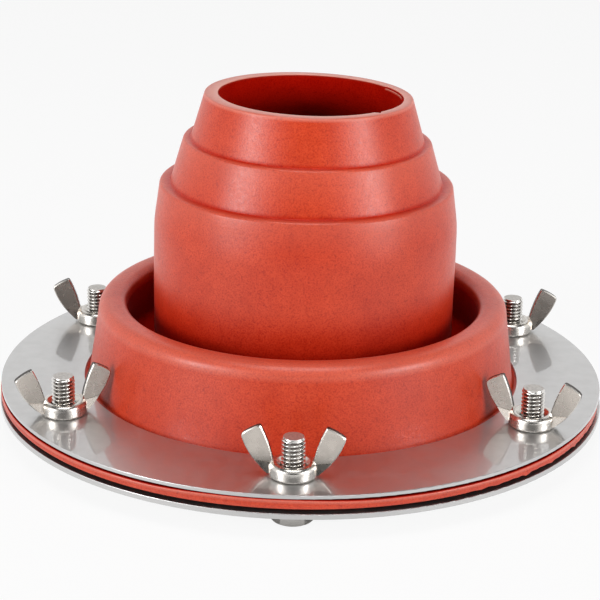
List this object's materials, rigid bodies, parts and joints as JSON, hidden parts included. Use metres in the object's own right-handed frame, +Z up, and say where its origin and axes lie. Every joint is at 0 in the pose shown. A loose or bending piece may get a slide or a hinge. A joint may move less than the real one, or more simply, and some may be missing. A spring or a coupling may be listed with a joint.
{
  "type": "pipe flashing boot",
  "caption": "Stepped silicone rubber pipe boot with a folded collar, its flange clamped between two steel ring plates by bolts and wing nuts.",
  "frame": {"origin": "pipe axis at the level of the undersides of the bolt heads, which the part stands on", "axes": "+Z up along the pipe, -Y towards the viewer's wing nut, +X to the right"},
  "size_m": [0.161, 0.1609, 0.0869],
  "materials": {
    "red_silicone": "matt moulded red silicone",
    "ring_steel": "polished stainless",
    "bolt_steel": "bright stainless",
    "nut_steel": "satin cast stainless"
  },
  "bodies": {
    "clamped_boot": {"silicone_boot": "red_silicone", "top_ring_plate": "ring_steel", "bottom_ring_plate": "ring_steel", "hex_bolt_1": "bolt_steel", "hex_bolt_2": "bolt_steel", "hex_bolt_3": "bolt_steel", "hex_bolt_4": "bolt_steel", "hex_bolt_5": "bolt_steel", "hex_bolt_6": "bolt_steel"},
    "nut_1": {"wing_nut_1": "nut_steel"},
    "nut_2": {"wing_nut_2": "nut_steel"},
    "nut_3": {"wing_nut_3": "nut_steel"},
    "nut_4": {"wing_nut_4": "nut_steel"},
    "nut_5": {"wing_nut_5": "nut_steel"},
    "nut_6": {"wing_nut_6": "nut_steel"}
  },
  "joints": [
    {"name": "nut_1_turn", "type": "hinge", "parent": "clamped_boot", "child": "nut_1", "pos_m": [-0.00138, -0.06854, 0.0114], "axis": [0, 0, 1], "continuous": true},
    {"name": "nut_2_turn", "type": "hinge", "parent": "clamped_boot", "child": "nut_2", "pos_m": [0.05867, -0.03546, 0.0114], "axis": [0, 0, 1], "continuous": true},
    {"name": "nut_3_turn", "type": "hinge", "parent": "clamped_boot", "child": "nut_3", "pos_m": [0.06005, 0.03308, 0.0114], "axis": [0, 0, 1], "continuous": true},
    {"name": "nut_4_turn", "type": "hinge", "parent": "clamped_boot", "child": "nut_4", "pos_m": [0.00138, 0.06854, 0.0114], "axis": [0, 0, 1], "continuous": true},
    {"name": "nut_5_turn", "type": "hinge", "parent": "clamped_boot", "child": "nut_5", "pos_m": [-0.05867, 0.03546, 0.0114], "axis": [0, 0, 1], "continuous": true},
    {"name": "nut_6_turn", "type": "hinge", "parent": "clamped_boot", "child": "nut_6", "pos_m": [-0.06005, -0.03308, 0.0114], "axis": [0, 0, 1], "continuous": true}
  ]
}
